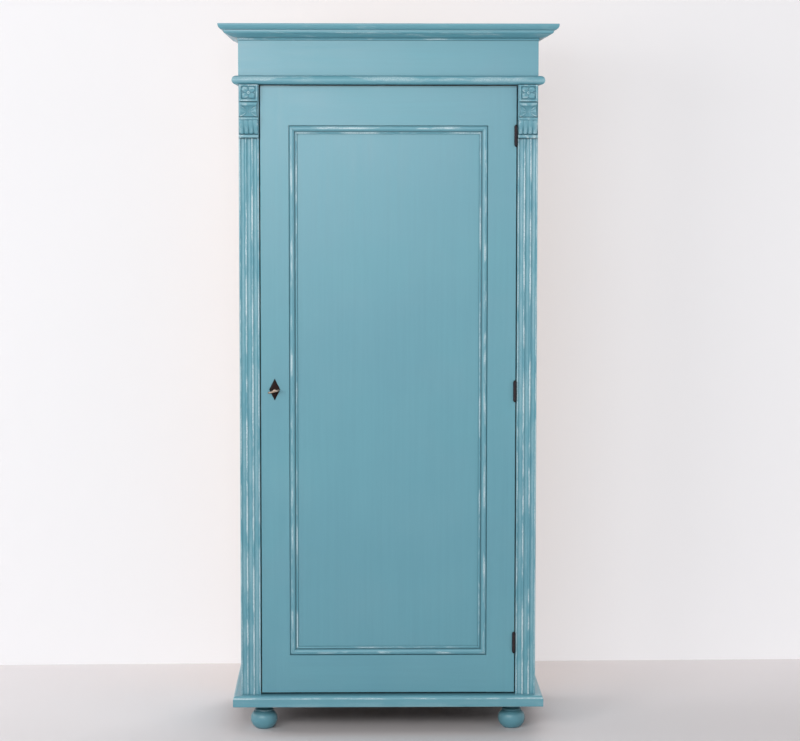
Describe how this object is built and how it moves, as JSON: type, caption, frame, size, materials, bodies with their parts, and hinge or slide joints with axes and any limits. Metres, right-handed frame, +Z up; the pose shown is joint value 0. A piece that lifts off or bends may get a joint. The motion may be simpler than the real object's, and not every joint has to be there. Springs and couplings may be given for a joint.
{
  "type": "wardrobe",
  "caption": "Tall painted wardrobe with a panelled, locking door between fluted stiles under carved capitals, a cornice and bun feet.",
  "frame": {"origin": "on the floor, under the middle of the bounding box", "axes": "+Z up, +X to the viewer's right, +Y from the door towards the back; the door faces -Y"},
  "size_m": [0.9276, 0.5534, 1.9633],
  "materials": {
    "carcass_paint": "satin paint, rubbed through to a pale undercoat on its arrises",
    "foot_paint": "satin paint, rubbed through to a pale undercoat on its arrises",
    "fluting_paint": "satin paint, rubbed through to a pale undercoat on its arrises",
    "carving_paint": "satin paint, rubbed through to a pale undercoat on its arrises",
    "crown_paint": "satin paint, rubbed through to a pale undercoat on its arrises",
    "door_paint": "satin paint, rubbed through to a pale undercoat on its arrises",
    "panel_paint": "satin paint, rubbed through to a pale undercoat on its arrises",
    "moulding_paint": "satin paint, rubbed through to a pale undercoat on its arrises",
    "inner_pine": "bare planed pine",
    "rail_wood": "turned and waxed",
    "hinge_iron": "dark, browned iron",
    "lock_iron": "dark, browned iron",
    "lock_steel": "filed bright",
    "plate_bronze": "dark patina",
    "key_brass": "worn bright"
  },
  "bodies": {
    "carcass": {"base_board": "carcass_paint", "foot_front_left": "foot_paint", "foot_front_right": "foot_paint", "foot_rear_left": "foot_paint", "foot_rear_right": "foot_paint", "side_left": "carcass_paint", "side_right": "carcass_paint", "fluted_stile_left": "fluting_paint", "fluted_stile_right": "fluting_paint", "capital_left": "carving_paint", "capital_right": "carving_paint", "back_board_1": "inner_pine", "back_board_2": "inner_pine", "back_board_3": "inner_pine", "back_board_4": "inner_pine", "back_board_5": "inner_pine", "top_board": "carcass_paint", "door_stop_top": "inner_pine", "door_stop_bottom": "inner_pine", "frieze_front": "crown_paint", "frieze_left": "crown_paint", "frieze_right": "crown_paint", "frieze_rear": "inner_pine", "cornice_front": "crown_paint", "cornice_left": "crown_paint", "cornice_right": "crown_paint", "glue_block_left": "inner_pine", "glue_block_right": "inner_pine", "hinge_top_frame_leaf": "hinge_iron", "hinge_middle_frame_leaf": "hinge_iron", "hinge_bottom_frame_leaf": "hinge_iron", "hinge_top_pin": "hinge_iron", "hinge_middle_pin": "hinge_iron", "hinge_bottom_pin": "hinge_iron", "strike_plate": "lock_iron", "hat_shelf": "inner_pine", "shelf_batten_left": "inner_pine", "shelf_batten_right": "inner_pine", "clothes_rail": "rail_wood", "rail_socket_left": "inner_pine", "rail_socket_right": "inner_pine"},
    "door": {"door_stile_hinge": "door_paint", "door_stile_lock": "door_paint", "door_rail_top": "door_paint", "door_rail_bottom": "door_paint", "door_panel": "panel_paint", "panel_moulding_top": "moulding_paint", "panel_moulding_bottom": "moulding_paint", "panel_moulding_left": "moulding_paint", "panel_moulding_right": "moulding_paint", "hinge_top_door_leaf": "hinge_iron", "hinge_middle_door_leaf": "hinge_iron", "hinge_bottom_door_leaf": "hinge_iron", "key_plate": "plate_bronze", "lock_case": "lock_iron", "bolt_spring": "lock_steel"},
    "key": {"key": "key_brass"},
    "bolt": {"lock_bolt": "lock_steel"}
  },
  "joints": [
    {"name": "door_hinge", "type": "hinge", "parent": "carcass", "child": "door", "pos_m": [0.3497, -0.22635, 0.957], "axis": [0, 0, 1], "range_deg": [0, 120]},
    {"name": "key_turn", "type": "hinge", "parent": "door", "child": "key", "pos_m": [-0.3137, -0.22335, 0.96], "axis": [0, -1, 0], "range_deg": [0, 162]},
    {"name": "bolt_slide", "type": "slide", "parent": "door", "child": "bolt", "axis": [-1, 0, 0], "range_m": [0, 0.012]}
  ],
  "couplings": [
    {"joint": "key_turn", "follows": "bolt_slide", "rad_per_m": 227.27}
  ]
}
